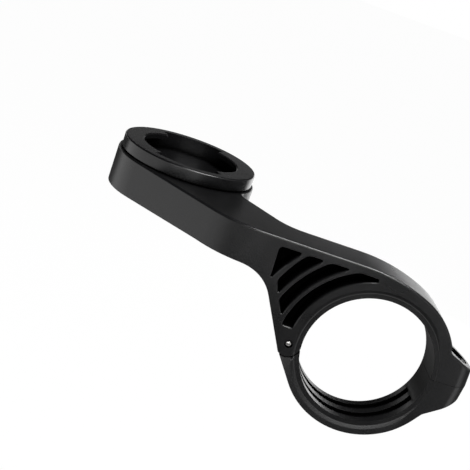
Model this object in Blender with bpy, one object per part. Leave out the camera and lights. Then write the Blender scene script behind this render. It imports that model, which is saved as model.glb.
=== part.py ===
"""Out-front bike computer mount: a bent arm on a hinged clamp for a 31.8 mm handlebar.

Frame, in metres: the origin is the centre of the handlebar bore, +Y runs along the
handlebar, +X points back from the arm to the clamp screw, and +Z points up.
"""
import math

import bmesh
import bpy
from mathutils import Matrix, Vector

MM = 0.001

# Clearances
GAP = 0.3
THREAD_GAP = 0.15
PIN_GAP = 0.15

# Handlebar bore and the ring around it
BORE_R = 15.9
BAND_W = 1.1
BAND_R = BORE_R + BAND_W
BAND_DROP = 0.35
ROLL_W = 1.3
UPPER_WALL = 3.38
UPPER_RING_R = BAND_R + UPPER_WALL
LOWER_WALL = 2.25
LOWER_RING_R = BAND_R + LOWER_WALL
LOWER_SWELL = 0.25
LOWER_LEFT = math.radians(-144.0)
HALF_W = 5.5
PARTING_Z = 0.6
PARTING_GAP = 0.3

# Grooves moulded into the lower half of the bore
GROOVE_R = 16.7
GROOVE_IN = 1.0
GROOVE_OUT = 3.2
GROOVE_END = math.radians(-24.0)
GROOVE_START = math.radians(-160.0)

# Hinge
PIN_X = -18.9
PIN_Z = -1.9
PIN_R = 0.85
PIN_HALF_L = HALF_W - GAP
LUG_R = 3.15
LEG_OFFSET = 2.8
TONGUE_HALF_W = 2.6
TONGUE_INSET = 0.2

# Screw boss at the open side of the clamp
SCREW_X = 21.2
BOSS_R = 5.15
BOSS_REACH = 4.9
BOSS_DRAFT = 0.08
BOSS_BLEND_X = 13.5
BOSS_FILLET_R = 2.5
BOSS_TOP_Z = 7.1
BOSS_BOTTOM_Z = -6.1
BOSS_TOP_SLOPE = math.tan(math.radians(24.0))
BOSS_BOTTOM_SLOPE = math.tan(math.radians(35.5))
SCREW_R = 1.5
SCREW_L = 7.6
SCREW_HEAD_R = 2.75
SCREW_HEAD_H = 3.0
SCREW_SEAT_Z = 2.6
NUT_FLATS = 5.5
NUT_H = 2.2
NUT_SEAT_Z = -1.4

# Arm slab
TOP_Z = 22.2
SLAB_Z = 13.4
SLAB_RISE = 0.034
SLAB_KNEE_X = -47.5
TOP_BEND_R = 43.5
TOP_BEND_X = -9.0
UNDER_BEND_R = 10.0
LEG_ANGLE = math.radians(61.2)

# Plan of the bent arm and the round head
HEAD_X = -54.2
HEAD_Y = 30.55
HEAD_R = 18.3
NEAR_ANGLE = math.radians(41.0)
NEAR_BEND_R = 19.5
FAR_ANGLE = math.radians(47.2)
FAR_OFFSET = -16.22
FAR_BEND_R = 9.0
NECK_FILLET_R = 4.0

# Lightening pockets in the arm's two sides
POCKET_RADII = ((20.0, 22.2), (23.5, 26.0), (27.3, 29.9), (31.1, 36.0))
POCKET_TOP_Z = 20.1
POCKET_END_Z = 2.2
POCKET_WALL = 2.3
POCKET_FLARE = 0.35
POCKET_LEFT_X = -29.1
POCKET_TIP_X = -4.9
POCKET_FOOT = (-28.55, 12.3)
POCKET_FOOT_SHIFT = (0.55, -0.1)
WEB_HALF = 1.1

# Quarter-turn insert
HEAD_WALL = 2.0
INSERT_BODY_R = HEAD_R - HEAD_WALL
INSERT_FLANGE_W = 1.3
INSERT_FLANGE_R = INSERT_BODY_R + INSERT_FLANGE_W
INSERT_WALL = 1.1
INSERT_CAVITY_R = INSERT_BODY_R - INSERT_WALL
INSERT_LIP_W = 2.6
INSERT_LIP_R = INSERT_CAVITY_R - INSERT_LIP_W
INSERT_TOP_Z = 25.6
INSERT_LIP_H = 1.4
INSERT_CAVITY_H = 2.9
INSERT_FLOOR_H = 1.4
LUG_SLOT_HALF_ANGLE = math.radians(34.0)
POST_R = 2.4
POST_INSET = 3.1
POST_OFFSET = INSERT_LIP_R - POST_INSET
POST_BOTTOM_Z = 16.8
INSERT_SCREW_R = 1.2
INSERT_SCREW_HEAD_R = 2.3
INSERT_SCREW_HEAD_H = 1.6
INSERT_SCREW_SEAT_Z = 15.4
INSERT_SCREW_TIP_Z = 19.9

# Rounded outer edges, and the reach of the tools that trim a piece
EDGE_R = 0.75
LOWER_EDGE_R = 0.85
FAR = 40.0


def clear_scene():
    """Remove every object the session starts with."""
    for obj in list(bpy.data.objects):
        bpy.data.objects.remove(obj, do_unlink=True)


def material(name, colour, roughness, metallic=0.0):
    """Make one Principled BSDF material."""
    mat = bpy.data.materials.new(name)
    mat.use_nodes = True
    shader = mat.node_tree.nodes["Principled BSDF"]
    shader.inputs["Base Color"].default_value = (*colour, 1.0)
    shader.inputs["Roughness"].default_value = roughness
    shader.inputs["Metallic"].default_value = metallic
    mat.diffuse_color = (*colour, 1.0)
    return mat


def arc(cx, cy, radius, start, end, steps):
    """Points along an arc, both ends included."""
    pts = []
    for i in range(steps + 1):
        a = start + (end - start) * i / steps
        pts.append((cx + radius * math.cos(a), cy + radius * math.sin(a)))
    return pts


def polar(cx, cy, radius, angle):
    """One point at a radius and angle from a centre."""
    return (cx + radius * math.cos(angle), cy + radius * math.sin(angle))


def round_bend(before, corner, after, radius, steps):
    """Arc of the given radius, tangent to the two straight runs that meet in a corner."""
    c = Vector(corner)
    u = (Vector(before) - c).normalized()
    v = (Vector(after) - c).normalized()
    half = math.acos(max(-1.0, min(1.0, u.dot(v)))) / 2
    reach = radius / math.tan(half)
    middle = c + (u + v).normalized() * (radius / math.sin(half))
    first = c + u * reach - middle
    last = c + v * reach - middle
    a0 = math.atan2(first.y, first.x)
    a1 = math.atan2(last.y, last.x)
    while a1 - a0 > math.pi:
        a1 -= 2 * math.pi
    while a1 - a0 < -math.pi:
        a1 += 2 * math.pi
    return arc(middle.x, middle.y, radius, a0, a1, steps)


def walk(points, distance):
    """Drop the first stretch of a polyline, measured along it."""
    left = distance
    for i in range(len(points) - 1):
        a = Vector(points[i])
        b = Vector(points[i + 1])
        step = (b - a).length
        if step > left:
            start = a + (b - a) * (left / step)
            return [(start.x, start.y)] + list(points[i + 1:])
        left -= step
    return [points[-1]]


def rounded_loop(sides, cuts, steps=4):
    """Join sides into one loop; each corner is cut back and rounded by a quadratic curve.

    The cut of index i belongs to the corner at the start of side i.
    """
    loop = []
    count = len(sides)
    for i, side in enumerate(sides):
        ahead = cuts[(i + 1) % count]
        trimmed = walk(side, cuts[i])
        trimmed = walk(list(reversed(trimmed)), ahead)
        trimmed.reverse()
        loop.extend(trimmed)
        corner = Vector(side[-1])
        start = Vector(trimmed[-1])
        following = walk(sides[(i + 1) % count], ahead)
        end = Vector(following[0])
        for k in range(1, steps):
            t = k / steps
            p = start * (1 - t) ** 2 + corner * 2 * t * (1 - t) + end * t ** 2
            loop.append((p.x, p.y))
    return loop


def offset_loop(loop, distance):
    """Move every point of a smooth counter-clockwise loop outward along its normal."""
    moved = []
    count = len(loop)
    for i, p in enumerate(loop):
        a = Vector(loop[i - 1])
        b = Vector(loop[(i + 1) % count])
        along = (b - a).normalized()
        moved.append((p[0] + along.y * distance, p[1] - along.x * distance))
    return moved


def area(loop):
    """Signed area of a loop, positive when counter-clockwise."""
    total = 0.0
    for i, p in enumerate(loop):
        q = loop[(i + 1) % len(loop)]
        total += p[0] * q[1] - q[0] * p[1]
    return total / 2


def object_from(bm, name):
    """Turn a bmesh into an object of the scene."""
    mesh = bpy.data.meshes.new(name)
    bm.to_mesh(mesh)
    bm.free()
    obj = bpy.data.objects.new(name, mesh)
    bpy.context.collection.objects.link(obj)
    return obj


def mesh_object(name, rings):
    """Skin a stack of equal rings of 3-D points given in millimetres."""
    bm = bmesh.new()
    rows = []
    for ring in rings:
        rows.append([bm.verts.new((x * MM, y * MM, z * MM)) for x, y, z in ring])
    count = len(rings[0])
    for lower, upper in zip(rows, rows[1:]):
        for i in range(count):
            j = (i + 1) % count
            bm.faces.new((lower[i], lower[j], upper[j], upper[i]))
    bm.faces.new(list(reversed(rows[0])))
    bm.faces.new(rows[-1])
    bmesh.ops.recalc_face_normals(bm, faces=bm.faces)
    return object_from(bm, name)


def prism_y(name, loop, y0, y1):
    """Extrude an XZ loop along Y."""
    return mesh_object(name, [[(x, y, z) for x, z in loop] for y in (y0, y1)])


def prism_z(name, loop, z0, z1):
    """Extrude an XY loop along Z."""
    return mesh_object(name, [[(x, y, z) for x, y in loop] for z in (z0, z1)])


def lathe_y(name, profile, steps, cx=0.0, cz=0.0):
    """Turn a profile of (radius, y) pairs about an axis parallel to Y."""
    rings = []
    for radius, y in profile:
        ring = []
        for x, z in arc(cx, cz, radius, 0.0, 2 * math.pi * (steps - 1) / steps, steps - 1):
            ring.append((x, y, z))
        rings.append(ring)
    return mesh_object(name, rings)


def lathe_z(name, profile, steps, cx=0.0, cy=0.0):
    """Turn a profile of (radius, z) pairs about an axis parallel to Z."""
    rings = []
    for radius, z in profile:
        ring = []
        for x, y in arc(cx, cy, radius, 0.0, 2 * math.pi * (steps - 1) / steps, steps - 1):
            ring.append((x, y, z))
        rings.append(ring)
    return mesh_object(name, rings)


def combine(target, tool, operation):
    """Add a live exact Boolean and keep its tool as a hidden wire."""
    mod = target.modifiers.new(operation.lower() + " " + tool.name, "BOOLEAN")
    mod.operation = operation
    mod.solver = "EXACT"
    mod.object = tool
    tool.hide_render = True
    tool.display_type = "WIRE"
    return target


def round_edges(obj, width, angle=50.0, segments=2):
    """Round the sharp edges made so far."""
    mod = obj.modifiers.new("round edges", "BEVEL")
    mod.width = width * MM
    mod.segments = segments
    mod.limit_method = "ANGLE"
    mod.angle_limit = math.radians(angle)
    mod.harden_normals = False
    return obj


def finish(obj, mat, origin=(0.0, 0.0, 0.0)):
    """Give a node its material and smooth faces, and move its origin without moving its shape."""
    place = Vector(origin) * MM
    obj.data.transform(Matrix.Translation(-place))
    obj.location = place
    obj.data.materials.append(mat)
    for poly in obj.data.polygons:
        poly.use_smooth = True
    return obj


def bore_cutter(name):
    """Clears the handlebar bore, the flat band at both mouths and the roll out to the sides."""
    band_y = HALF_W - BAND_DROP
    side = [(BORE_R, band_y), (BAND_R, band_y)]
    for i in range(1, 5):
        a = math.radians(18.0 * i)
        side.append((BAND_R + ROLL_W * (1.0 - math.cos(a)), band_y + BAND_DROP * math.sin(a)))
    clear_r = BAND_R + 1.5 * ROLL_W
    side += [(clear_r, HALF_W + 0.1), (clear_r, FAR)]
    return lathe_y(name, [(r, -y) for r, y in reversed(side)] + side, 96)


def parting_tool(name, half):
    """Takes the other half's share away: below the parting (half 1) or above it (half -1)."""
    z0 = PARTING_Z + half * PARTING_GAP / 2
    radius = LUG_R if half > 0 else LUG_R + GAP
    last = math.radians(-2.0 if half > 0 else -8.0)
    loop = arc(PIN_X, PIN_Z, radius, math.radians(-160.0), last, 26)
    loop += [(0.0, z0), (FAR, z0), (FAR, -half * FAR), (-FAR, -half * FAR), (-FAR, loop[0][1])]
    return prism_y(name, loop, -FAR, FAR)


def leg_point(distance):
    """Point on the arm's lower left edge, measured up from beside the hinge pin."""
    nx = -math.sin(LEG_ANGLE)
    nz = -math.cos(LEG_ANGLE)
    x = PIN_X + LEG_OFFSET * nx - distance * math.cos(LEG_ANGLE)
    z = PIN_Z + LEG_OFFSET * nz + distance * math.sin(LEG_ANGLE)
    return (x, z)


def upper_side_loop():
    """Side profile of the arm and the upper half of the clamp, run on below the parting."""
    z0 = PARTING_Z - BOSS_R
    reach = SCREW_X + 1.5 * BOSS_R
    loop = [(0.0, z0), (reach, z0), (reach, BOSS_TOP_Z - BOSS_TOP_SLOPE * (reach - SCREW_X))]
    corner_x = SCREW_X - 0.58 * BOSS_R
    corner = (corner_x, BOSS_TOP_Z + BOSS_TOP_SLOPE * (SCREW_X - corner_x))
    above = (corner_x - BOSS_FILLET_R, corner[1] + 2.3 * BOSS_FILLET_R)
    loop += round_bend(loop[-1], corner, above, BOSS_FILLET_R, 5)
    centre_z = TOP_Z - TOP_BEND_R
    join = math.atan2(-centre_z, -TOP_BEND_X)
    start = math.atan2(loop[-1][1], loop[-1][0])
    loop += arc(0.0, 0.0, UPPER_RING_R, start + 0.05, join, 12)
    loop += arc(TOP_BEND_X, centre_z, TOP_BEND_R, join, math.pi / 2, 9)[1:]
    left = HEAD_X - 1.4 * HEAD_R
    knee = (SLAB_KNEE_X, SLAB_Z)
    loop += [(left, TOP_Z), (left, SLAB_Z - SLAB_RISE * (SLAB_KNEE_X - left)), knee]
    foot = leg_point(BORE_R)
    drop = (foot[1] - SLAB_Z) / math.tan(LEG_ANGLE)
    corner = (foot[0] + drop, SLAB_Z)
    loop += round_bend(knee, corner, leg_point(0.0), UNDER_BEND_R, 10)
    low = leg_point(-2.0 * LUG_R)
    loop += [low, (0.0, low[1])]
    return loop


def boss_end(z):
    """Round end of the screw boss in plan, drawn in by the draft above and below the parting."""
    slide = BOSS_DRAFT * abs(z - PARTING_Z)
    start = math.radians(80.0)
    pts = [(BOSS_BLEND_X - slide, HALF_W)]
    for x, y in arc(0.0, 0.0, 1.0, start, -start, 16):
        pts.append((SCREW_X - slide + BOSS_REACH * x, BOSS_R * y))
    pts.append((BOSS_BLEND_X - slide, -HALF_W))
    return pts


def plan_loop(z):
    """Plan of the whole arm: straight over the clamp, bent, and round at the head."""
    near_n = Vector((-math.sin(NEAR_ANGLE), -math.cos(NEAR_ANGLE)))
    near_d = Vector((-math.cos(NEAR_ANGLE), math.sin(NEAR_ANGLE)))
    far_n = Vector((math.sin(FAR_ANGLE), math.cos(FAR_ANGLE)))
    far_d = Vector((-math.cos(FAR_ANGLE), math.sin(FAR_ANGLE)))
    head = Vector((HEAD_X, HEAD_Y))
    near_offset = near_n.dot(head) + HEAD_R
    near_corner = Vector(((near_offset + near_n.y * HALF_W) / near_n.x, -HALF_W))
    far_corner = Vector(((FAR_OFFSET - far_n.y * HALF_W) / far_n.x, HALF_W))
    loop = boss_end(z)
    loop += round_bend((0.0, -HALF_W), near_corner, near_corner + near_d, NEAR_BEND_R, 9)
    side = far_n.dot(head) - FAR_OFFSET
    reach = HEAD_R + NECK_FILLET_R
    across = NECK_FILLET_R - side
    along = math.sqrt(reach ** 2 - across ** 2)
    neck = head + far_n * across - far_d * along
    tangent = head + (neck - head) * (HEAD_R / reach)
    end = math.atan2(tangent.y - HEAD_Y, tangent.x - HEAD_X)
    start = math.atan2(near_n.y, near_n.x)
    while end > start:
        end -= 2 * math.pi
    loop += arc(HEAD_X, HEAD_Y, HEAD_R, start, end, 44)
    a0 = math.atan2(tangent.y - neck.y, tangent.x - neck.x)
    a1 = math.atan2(-far_n.y, -far_n.x)
    while a1 - a0 > math.pi:
        a1 -= 2 * math.pi
    while a1 - a0 < -math.pi:
        a1 += 2 * math.pi
    loop += arc(neck.x, neck.y, NECK_FILLET_R, a0, a1, 6)[1:]
    loop += round_bend(far_corner + far_d, far_corner, (0.0, HALF_W), FAR_BEND_R, 7)
    loop.reverse()
    return loop


def wall_crossing(radius):
    """Where a circle about the bore meets the line that keeps the wall at the arm's edge."""
    low = 0.0
    high = 25.0
    nx = math.sin(LEG_ANGLE)
    nz = math.cos(LEG_ANGLE)
    for _ in range(50):
        mid = (low + high) / 2
        x, z = leg_point(mid)
        x += nx * POCKET_WALL
        z += nz * POCKET_WALL
        if math.hypot(x, z) < radius:
            low = mid
        else:
            high = mid
    return (x, z)


def pocket_loops():
    """Outlines of the four pockets, counter-clockwise in X and Z."""
    loops = []
    inner, outer = POCKET_RADII[0]
    tip = (POCKET_TIP_X, math.sqrt(inner ** 2 - POCKET_TIP_X ** 2))
    a_tip = math.atan2(tip[1], tip[0])
    a_low = math.pi - math.asin(POCKET_END_Z / inner)
    a_out = math.pi - math.asin(POCKET_END_Z / outer)
    a_top = math.pi - math.asin(POCKET_TOP_Z / outer)
    top_left = polar(0.0, 0.0, outer, a_top)
    blunt = (POCKET_TIP_X - 0.1, POCKET_TOP_Z - 0.1)
    low_out = polar(0.0, 0.0, outer, a_out)
    inner_side = []
    for i in range(25):
        t = i / 24
        inner_side.append(polar(0.0, 0.0, inner - POCKET_FLARE * (1 - t) ** 2, a_low + (a_tip - a_low) * t))
    sides = [inner_side, [tip, blunt], [blunt, top_left],
             arc(0.0, 0.0, outer, a_top, a_out, 22), [low_out, inner_side[0]]]
    loops.append(rounded_loop(sides, (0.5, 0.2, 0.25, 0.7, 0.6), 3))
    for index, (inner, outer) in enumerate(POCKET_RADII[1:3]):
        low = wall_crossing(inner)
        low_out = wall_crossing(outer)
        if index == 1:
            low_out = (low_out[0] + POCKET_FOOT_SHIFT[0], low_out[1] + POCKET_FOOT_SHIFT[1])
        a_low = math.atan2(low[1], low[0])
        a_out = math.atan2(low_out[1], low_out[0])
        r_out = math.hypot(*low_out)
        a_in_top = math.pi - math.asin(POCKET_TOP_Z / inner)
        a_top = math.pi - math.asin(POCKET_TOP_Z / outer)
        top_right = polar(0.0, 0.0, inner, a_in_top)
        top_left = polar(0.0, 0.0, outer, a_top)
        outer_side = []
        for i in range(13):
            t = i / 12
            outer_side.append(polar(0.0, 0.0, outer + (r_out - outer) * t, a_top + (a_out - a_top) * t))
        sides = [arc(0.0, 0.0, inner, a_low, a_in_top, 13), [top_right, top_left], outer_side,
                 [outer_side[-1], low]]
        loops.append(rounded_loop(sides, (0.4, 0.5, 0.9, 0.6), 3))
    inner = POCKET_RADII[3][0]
    a_low = math.atan2(POCKET_FOOT[1], POCKET_FOOT[0])
    low = polar(0.0, 0.0, inner, a_low)
    a_top = math.pi - math.asin(POCKET_TOP_Z / inner)
    top_right = polar(0.0, 0.0, inner, a_top)
    top_left = (POCKET_LEFT_X, POCKET_TOP_Z)
    sides = [arc(0.0, 0.0, inner, a_low, a_top, 9), [top_right, top_left], [top_left, low]]
    loops.append(rounded_loop(sides, (0.35, 0.5, 1.1), 3))
    ordered = []
    for loop in loops:
        if area(loop) < 0:
            loop.reverse()
        ordered.append(loop)
    return ordered


def far_wall_y(x):
    """Distance of the arm's far wall from mid-width, along the clamp and round the inner bend."""
    reach = FAR_BEND_R * math.tan(FAR_ANGLE / 2)
    corner_x = (FAR_OFFSET - HALF_W * math.cos(FAR_ANGLE)) / math.sin(FAR_ANGLE)
    start_x = corner_x + reach
    if x >= start_x:
        return HALF_W
    return HALF_W + FAR_BEND_R - math.sqrt(FAR_BEND_R ** 2 - (start_x - x) ** 2)


def pocket_cutter(name, loop, side):
    """Cutter with a flared rim that follows the wall, on the near (-1) or far (+1) side of the arm."""
    rims = ((0.3, 0.81), (-0.14, 0.12), (-0.42, 0.0))
    rings = [[(x, side * 16.0, z) for x, z in offset_loop(loop, 0.81)]]
    for beyond, grow in rims:
        ring = []
        for x, z in offset_loop(loop, grow):
            wall = far_wall_y(x) if side > 0 else HALF_W
            ring.append((x, side * (wall + beyond), z))
        rings.append(ring)
    rings.append([(x, side * WEB_HALF, z) for x, z in offset_loop(loop, -0.06)])
    return mesh_object(name, rings)


def hexagon(cx, cy, flats):
    """Corners of a hexagon given across its flats, two of them facing along X."""
    return [polar(cx, cy, flats / math.sqrt(3.0), math.pi / 6 + math.pi * i / 3) for i in range(6)]


def build_arm(mat):
    """One moulding: head, bent arm, upper clamp half, hinge lugs and upper screw boss."""
    arm = prism_y("arm", upper_side_loop(), -FAR, 2 * FAR)
    rings = []
    for level, shape_z in ((-FAR, PARTING_Z), (PARTING_Z, PARTING_Z), (BORE_R, BORE_R), (FAR, BORE_R)):
        rings.append([(x, y, level) for x, y in plan_loop(shape_z)])
    combine(arm, mesh_object("arm plan", rings), "INTERSECT")
    round_edges(arm, EDGE_R)
    combine(arm, bore_cutter("arm bore"), "DIFFERENCE")
    combine(arm, parting_tool("arm parting", 1), "DIFFERENCE")
    for i, loop in enumerate(pocket_loops()):
        for side in (-1, 1):
            combine(arm, pocket_cutter("arm pocket %d %d" % (i, side), loop, side), "DIFFERENCE")
    slot_w = TONGUE_HALF_W + GAP
    slot = lathe_y("arm tongue slot", [(LUG_R + GAP, -slot_w), (LUG_R + GAP, slot_w)], 48, PIN_X, PIN_Z)
    combine(arm, slot, "DIFFERENCE")
    hole = PIN_R + PIN_GAP
    combine(arm, lathe_y("arm pin hole", [(hole, -FAR), (hole, FAR)], 24, PIN_X, PIN_Z), "DIFFERENCE")
    recess = SCREW_HEAD_R + GAP
    clear = SCREW_R + 0.2
    steps = [(clear, -FAR), (clear, SCREW_SEAT_Z), (recess, SCREW_SEAT_Z), (recess, FAR)]
    combine(arm, lathe_z("arm screw hole", steps, 32, SCREW_X, 0.0), "DIFFERENCE")
    seat_z = INSERT_TOP_Z - INSERT_LIP_H - INSERT_CAVITY_H - INSERT_FLOOR_H - GAP
    pocket = [(INSERT_BODY_R + GAP, seat_z), (INSERT_BODY_R + GAP, FAR)]
    combine(arm, lathe_z("arm insert seat", pocket, 60, HEAD_X, HEAD_Y), "DIFFERENCE")
    for i, side in enumerate((-1, 1)):
        x = HEAD_X + side * POST_OFFSET
        head_r = INSERT_SCREW_HEAD_R + GAP
        post_r = POST_R + GAP
        clear_r = INSERT_SCREW_R + GAP
        steps = [(head_r, 0.0), (head_r, INSERT_SCREW_SEAT_Z), (clear_r, INSERT_SCREW_SEAT_Z),
                 (clear_r, POST_BOTTOM_Z - GAP), (post_r, POST_BOTTOM_Z - GAP), (post_r, seat_z + 0.5)]
        combine(arm, lathe_z("arm post hole %d" % i, steps, 28, x, HEAD_Y), "DIFFERENCE")
    return finish(arm, mat)


def left_edge(along, inset):
    """Point near the lower half's straight left edge, measured up from its tangent to the ring."""
    radius = LOWER_RING_R - inset
    x = radius * math.cos(LOWER_LEFT) + along * math.sin(LOWER_LEFT)
    z = radius * math.sin(LOWER_LEFT) - along * math.cos(LOWER_LEFT)
    return (x, z)


def build_lower(mat):
    """Lower half of the clamp with the hinge tongue, bore grooves, boss and nut pocket."""
    pin_reach = LOWER_RING_R - PIN_X * math.cos(LOWER_LEFT) - PIN_Z * math.sin(LOWER_LEFT)
    top = PARTING_Z + BOSS_R
    reach = SCREW_X + 1.5 * BOSS_R
    loop = [(reach, top), (0.0, top), left_edge(LOWER_RING_R, 0.0)]
    last = math.radians(-30.0)
    for i in range(35):
        t = i / 34
        loop.append(polar(0.0, 0.0, LOWER_RING_R + LOWER_SWELL * t, LOWER_LEFT + (last - LOWER_LEFT) * t))
    corner_x = SCREW_X - 0.67 * BOSS_R
    corner = (corner_x, BOSS_BOTTOM_Z - BOSS_BOTTOM_SLOPE * (SCREW_X - corner_x))
    outer = (reach, BOSS_BOTTOM_Z + BOSS_BOTTOM_SLOPE * (reach - SCREW_X))
    loop = loop[:-1] + round_bend(loop[-1], corner, outer, BOSS_FILLET_R, 5) + [outer]
    lower = prism_y("lower_clamp", loop, -FAR, FAR)
    rings = []
    for level, shape_z in ((-FAR, -BORE_R), (-BORE_R, -BORE_R), (PARTING_Z, PARTING_Z), (FAR, PARTING_Z)):
        plan = [(-FAR, HALF_W)] + boss_end(shape_z) + [(-FAR, -HALF_W)]
        rings.append([(x, y, level) for x, y in plan])
    combine(lower, mesh_object("lower plan", rings), "INTERSECT")
    round_edges(lower, LOWER_EDGE_R)
    combine(lower, parting_tool("lower parting", -1), "DIFFERENCE")
    tongue = arc(PIN_X, PIN_Z, pin_reach - TONGUE_INSET, math.radians(-10.0), LOWER_LEFT + 2 * math.pi, 24)
    foot = 1.5 * LUG_R
    tongue += [left_edge(foot, TONGUE_INSET), left_edge(foot, LUG_R), (-BORE_R, -LUG_R)]
    blade = prism_y("lower tongue", tongue, -TONGUE_HALF_W, TONGUE_HALF_W)
    combine(lower, blade, "UNION")
    combine(lower, bore_cutter("lower bore"), "DIFFERENCE")
    for side in (-1, 1):
        groove = arc(0.0, 0.0, GROOVE_R, GROOVE_START, GROOVE_END, 44)
        groove += arc(0.0, 0.0, BORE_R - 2 * GROOVE_OUT, GROOVE_END, GROOVE_START, 12)
        ys = sorted((side * GROOVE_IN, side * GROOVE_OUT))
        combine(lower, prism_y("lower groove %d" % side, groove, ys[0], ys[1]), "DIFFERENCE")
    hole = PIN_R + PIN_GAP
    combine(lower, lathe_y("lower pin hole", [(hole, -FAR), (hole, FAR)], 24, PIN_X, PIN_Z), "DIFFERENCE")
    clear = SCREW_R + GAP
    combine(lower, lathe_z("lower screw hole", [(clear, -FAR), (clear, FAR)], 28, SCREW_X, 0.0), "DIFFERENCE")
    pocket = prism_z("lower nut pocket", hexagon(SCREW_X, 0.0, NUT_FLATS + 2 * THREAD_GAP), -FAR, NUT_SEAT_Z)
    combine(lower, pocket, "DIFFERENCE")
    return finish(lower, mat, (PIN_X, 0.0, PIN_Z))


def build_hinge_pin(mat):
    """Steel pin with chamfered ends, seated a little inside the two lugs."""
    c = 0.2
    profile = [(PIN_R - c, -PIN_HALF_L), (PIN_R, -PIN_HALF_L + c), (PIN_R, PIN_HALF_L - c), (PIN_R - c, PIN_HALF_L)]
    return finish(lathe_y("hinge_pin", profile, 24, PIN_X, PIN_Z), mat, (PIN_X, 0.0, PIN_Z))


def build_clamp_screw(mat):
    """Socket-head cap screw through both bosses."""
    base = SCREW_SEAT_Z + GAP
    tip = base - SCREW_L
    top = base + SCREW_HEAD_H
    profile = [(SCREW_R - 0.4, tip), (SCREW_R, tip + 0.4), (SCREW_R, base), (SCREW_HEAD_R, base),
               (SCREW_HEAD_R, top - 0.25), (SCREW_HEAD_R - 0.25, top)]
    screw = lathe_z("clamp_screw", profile, 32, SCREW_X, 0.0)
    socket = prism_z("clamp screw socket", hexagon(SCREW_X, 0.0, 2.5), top - 1.5, top + 2.0)
    combine(screw, socket, "DIFFERENCE")
    return finish(screw, mat, (SCREW_X, 0.0, base))


def build_clamp_nut(mat):
    """Hexagon nut held in the pocket of the lower boss."""
    top = NUT_SEAT_Z - GAP
    nut = prism_z("clamp_nut", hexagon(SCREW_X, 0.0, NUT_FLATS), top - NUT_H, top)
    bore = SCREW_R + THREAD_GAP
    combine(nut, lathe_z("clamp nut bore", [(bore, -FAR), (bore, FAR)], 28, SCREW_X, 0.0), "DIFFERENCE")
    return finish(nut, mat, (SCREW_X, 0.0, top))


def build_insert(mat):
    """Quarter-turn socket: flange, body, undercut cavity, two lug entries and two screw posts."""
    lip_z = INSERT_TOP_Z - INSERT_LIP_H
    floor_z = lip_z - INSERT_CAVITY_H
    base_z = floor_z - INSERT_FLOOR_H
    flange_z = TOP_Z + GAP
    profile = [(INSERT_BODY_R - 0.3, base_z), (INSERT_BODY_R, base_z + 0.3), (INSERT_BODY_R, flange_z),
               (INSERT_FLANGE_R, flange_z), (INSERT_FLANGE_R, INSERT_TOP_Z - 0.4),
               (INSERT_FLANGE_R - 0.12, INSERT_TOP_Z - 0.12), (INSERT_FLANGE_R - 0.4, INSERT_TOP_Z)]
    insert = lathe_z("quarter_turn_insert", profile, 60, HEAD_X, HEAD_Y)
    cavity = [(INSERT_CAVITY_R, floor_z), (INSERT_CAVITY_R, lip_z), (INSERT_LIP_R, lip_z),
              (INSERT_LIP_R, INSERT_TOP_Z - 0.3), (INSERT_LIP_R + 0.9, INSERT_TOP_Z + 0.6)]
    combine(insert, lathe_z("insert cavity", cavity, 60, HEAD_X, HEAD_Y), "DIFFERENCE")
    for i, side in enumerate((-1, 1)):
        middle = side * math.pi / 2
        wedge = arc(HEAD_X, HEAD_Y, INSERT_CAVITY_R, middle - LUG_SLOT_HALF_ANGLE,
                    middle + LUG_SLOT_HALF_ANGLE, 14)
        wedge += arc(HEAD_X, HEAD_Y, POST_OFFSET, middle + LUG_SLOT_HALF_ANGLE,
                     middle - LUG_SLOT_HALF_ANGLE, 6)
        combine(insert, prism_z("insert lug entry %d" % i, wedge, lip_z - 0.6, FAR), "DIFFERENCE")
    for i, side in enumerate((-1, 1)):
        x = HEAD_X + side * POST_OFFSET
        post = lathe_z("insert post %d" % i, [(POST_R, POST_BOTTOM_Z), (POST_R, floor_z - 0.4)], 28, x, HEAD_Y)
        combine(insert, post, "UNION")
        bore = INSERT_SCREW_R + THREAD_GAP
        pilot = lathe_z("insert pilot %d" % i, [(bore, 0.0), (bore, INSERT_SCREW_TIP_Z + 0.4)], 20, x, HEAD_Y)
        combine(insert, pilot, "DIFFERENCE")
    return finish(insert, mat, (HEAD_X, HEAD_Y, TOP_Z))


def build_insert_screw(name, side, mat):
    """Pan-head screw from under the head into a post of the insert."""
    x = HEAD_X + side * POST_OFFSET
    top = INSERT_SCREW_SEAT_Z - GAP
    low = top - INSERT_SCREW_HEAD_H
    profile = [(INSERT_SCREW_HEAD_R - 0.5, low), (INSERT_SCREW_HEAD_R - 0.15, low + 0.25),
               (INSERT_SCREW_HEAD_R, low + 0.7), (INSERT_SCREW_HEAD_R, top), (INSERT_SCREW_R, top),
               (INSERT_SCREW_R, INSERT_SCREW_TIP_Z - 0.5), (0.4, INSERT_SCREW_TIP_Z)]
    screw = lathe_z(name, profile, 28, x, HEAD_Y)
    for i in range(2):
        a = math.pi / 4 + math.pi / 2 * i
        c = math.cos(a)
        s = math.sin(a)
        arm = []
        for u, v in ((-1.25, -0.3), (1.25, -0.3), (1.25, 0.3), (-1.25, 0.3)):
            arm.append((x + u * c - v * s, HEAD_Y + u * s + v * c))
        combine(screw, prism_z("%s cross %d" % (name, i), arm, low - 1.0, low + 0.9), "DIFFERENCE")
    return finish(screw, mat, (x, HEAD_Y, top))


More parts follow.
